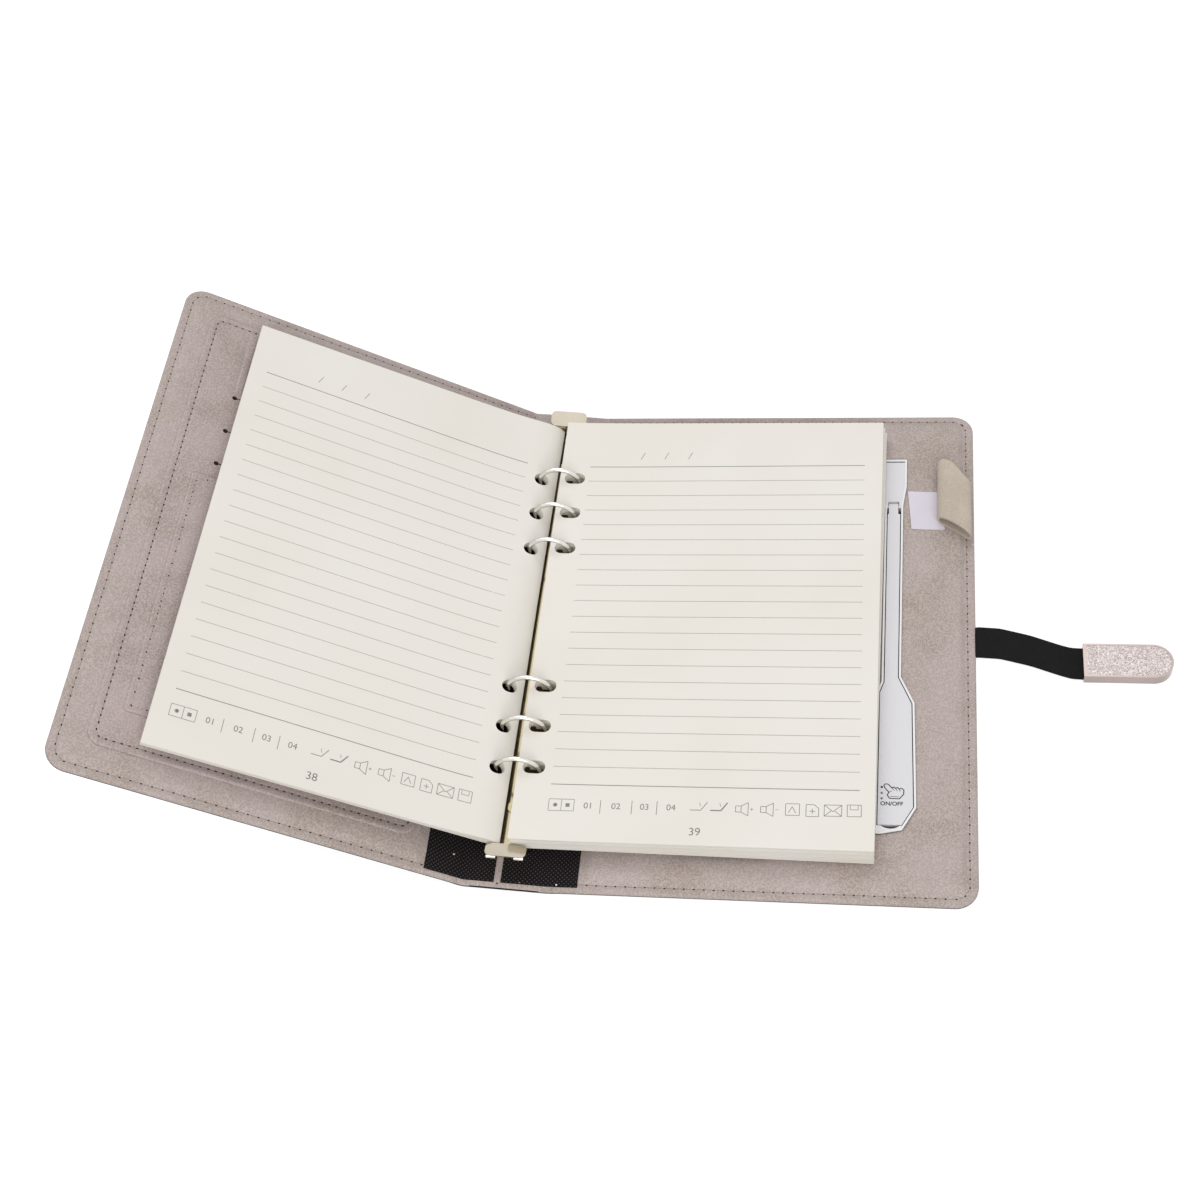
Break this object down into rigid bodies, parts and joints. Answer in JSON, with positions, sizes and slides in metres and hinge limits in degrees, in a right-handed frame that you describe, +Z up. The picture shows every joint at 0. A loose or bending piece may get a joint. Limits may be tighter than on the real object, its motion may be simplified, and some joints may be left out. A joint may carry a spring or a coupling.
{
  "type": "power bank notebook",
  "caption": "Open ring notebook whose back cover holds a power bank and a fold-up reading lamp, with card pockets, sheets on rings and a strap with a magnetic clasp.",
  "frame": {"origin": "centre of the back cover's underside", "axes": "+X from the spine to the fore edge, +Y along the spine towards the head, +Z up from the table"},
  "size_m": [0.4159, 0.24, 0.0916],
  "materials": {
    "black_cover": "matt grained black synthetic leather",
    "black_strap": "matt black synthetic leather",
    "board": "grey binder board",
    "taupe_lining": "fine grained taupe synthetic leather",
    "black_mesh": "black strip with a fine dot grid",
    "white_case": "satin white plastic",
    "grey_button": "satin grey plastic",
    "light_guide": "clear plastic",
    "cell_wrap": "laminated foil pouch",
    "circuit": "green circuit board",
    "socket_steel": "drawn steel",
    "screw_steel": "zinc plated steel",
    "lamp_white": "satin white plastic",
    "diffuser": "milky diffuser",
    "elastic": "beige elastic",
    "tag_paper": "blank white card",
    "clasp_metal": "satin nickel",
    "glitter": "silver rose glitter under clear lacquer",
    "magnet": "nickel plated magnet",
    "ring_chrome": "polished nickel",
    "rail_steel": "spring steel",
    "lever_chrome": "polished nickel",
    "page_paper": "cream writing paper"
  },
  "bodies": {
    "back_cover": {"back_cover_skin": "black_cover", "back_cover_board": "board", "back_cover_lining": "taupe_lining", "power_bank_lower_case": "white_case", "power_bank_upper_case": "white_case", "battery_cell": "cell_wrap", "circuit_board": "circuit", "usb_c_sockets": "socket_steel", "charge_lights": "light_guide", "case_screws": "screw_steel", "lamp_tray": "lamp_white", "lamp_head_block": "lamp_white", "lamp_hinge_pin": "screw_steel", "pen_loop": "elastic", "blank_tag": "tag_paper", "strap_root": "black_strap"},
    "power_button": {"power_button": "grey_button"},
    "lamp": {"lamp_upper_shell": "lamp_white", "lamp_lower_shell": "lamp_white", "lamp_light_board": "circuit", "lamp_diffuser": "diffuser", "lamp_touch_pad": "circuit"},
    "strap_middle": {"strap_middle": "black_strap"},
    "strap_end": {"strap_end": "black_strap", "clasp_shell": "clasp_metal", "clasp_inlay_plate": "glitter", "clasp_screws": "screw_steel", "clasp_magnet": "magnet"},
    "spine": {"spine_skin": "black_cover", "spine_board": "board", "spine_lining": "taupe_lining", "right_hinge_strip": "black_mesh", "back_hinge_skin": "black_cover", "ring_arch_plate": "ring_chrome", "ring_rivets": "ring_chrome", "lever_pins": "screw_steel"},
    "front_cover": {"front_cover_skin": "black_cover", "front_cover_board": "board", "front_cover_lining": "taupe_lining", "large_pocket_panel": "taupe_lining", "small_pocket_panel": "taupe_lining", "closure_magnet": "magnet", "left_hinge_strip": "black_mesh", "front_hinge_skin": "black_cover"},
    "right_ring_set": {"right_ring_rail": "rail_steel", "right_ring_halves": "ring_chrome"},
    "left_ring_set": {"left_ring_rail": "rail_steel", "left_ring_halves": "ring_chrome"},
    "upper_ring_lever": {"upper_ring_lever": "lever_chrome"},
    "lower_ring_lever": {"lower_ring_lever": "lever_chrome"},
    "left_pages": {"left_pages": "page_paper"},
    "right_pages_upper": {"right_pages_upper": "page_paper"},
    "right_pages_middle": {"right_pages_middle": "page_paper"},
    "right_pages_lower": {"right_pages_lower": "page_paper"}
  },
  "joints": [
    {"name": "spine_fold", "type": "hinge", "parent": "back_cover", "child": "spine", "pos_m": [-0.0825, 0, 0.002], "axis": [0, 1, 0], "range_deg": [-6.6, 83.4], "deforming": ["right_hinge_strip", "back_hinge_skin"]},
    {"name": "front_cover_fold", "type": "hinge", "parent": "spine", "child": "front_cover", "pos_m": [-0.11429, 0, 0.00568], "axis": [0, 1, 0], "range_deg": [-24.8, 65.2], "deforming": ["left_hinge_strip", "front_hinge_skin"]},
    {"name": "left_pages_turn", "type": "hinge", "parent": "spine", "child": "left_pages", "pos_m": [-0.09732, 0, 0.01308], "axis": [0, 1, 0], "range_deg": [-24, 63.1]},
    {"name": "right_pages_upper_slide", "type": "slide", "parent": "back_cover", "child": "right_pages_upper", "axis": [1, 0, 0], "range_m": [-0.0019, 0.0234]},
    {"name": "right_pages_middle_slide", "type": "slide", "parent": "back_cover", "child": "right_pages_middle", "axis": [1, 0, 0], "range_m": [-0.0018, 0.0227]},
    {"name": "right_pages_lower_slide", "type": "slide", "parent": "back_cover", "child": "right_pages_lower", "axis": [1, 0, 0], "range_m": [-0.00175, 0.0219]},
    {"name": "rings_open", "type": "hinge", "parent": "spine", "child": "right_ring_set", "pos_m": [-0.09043, 0, 0.0039], "axis": [0, -1, 0], "range_deg": [-5.6, 0]},
    {"name": "left_rings_open", "type": "hinge", "parent": "spine", "child": "left_ring_set", "pos_m": [-0.10613, 0, 0.00572], "axis": [0, 1, 0], "range_deg": [-5.7, 0.1]},
    {"name": "upper_lever_press", "type": "hinge", "parent": "spine", "child": "upper_ring_lever", "pos_m": [-0.09826, 0.103, 0.00503], "axis": [0.9934, 0, -0.1149], "range_deg": [-9.1, 0.1]},
    {"name": "lower_lever_press", "type": "hinge", "parent": "spine", "child": "lower_ring_lever", "pos_m": [-0.09826, -0.103, 0.00503], "axis": [-0.9934, 0, 0.1149], "range_deg": [-9.1, 0.1]},
    {"name": "lamp_lift", "type": "hinge", "parent": "back_cover", "child": "lamp", "pos_m": [0.0485, 0.0679, 0.003], "axis": [1, 0, 0], "range_deg": [-95, 0]},
    {"name": "strap_fold", "type": "hinge", "parent": "back_cover", "child": "strap_middle", "pos_m": [0.08335, -0.0006, 0.0023], "axis": [0, -1, 0], "range_deg": [0, 90]},
    {"name": "clasp_fold", "type": "hinge", "parent": "strap_middle", "child": "strap_end", "pos_m": [0.12025, -0.0101, 0.0023], "axis": [0, -1, 0], "range_deg": [0, 90]},
    {"name": "power_button_press", "type": "slide", "parent": "back_cover", "child": "power_button", "axis": [0, 0, 1], "range_m": [-0.0004, 0], "stiffness_N_per_m": 400}
  ],
  "couplings": [
    {"joint": "left_pages_turn", "follows": "front_cover_fold", "ratio": 0.9665},
    {"joint": "right_pages_upper_slide", "follows": "spine_fold", "m_per_rad": 0.016},
    {"joint": "right_pages_middle_slide", "follows": "spine_fold", "m_per_rad": 0.0155},
    {"joint": "right_pages_lower_slide", "follows": "spine_fold", "m_per_rad": 0.015},
    {"joint": "left_rings_open", "follows": "rings_open", "ratio": 1},
    {"joint": "upper_lever_press", "follows": "rings_open", "ratio": 1.6071},
    {"joint": "lower_lever_press", "follows": "rings_open", "ratio": 1.6071}
  ]
}
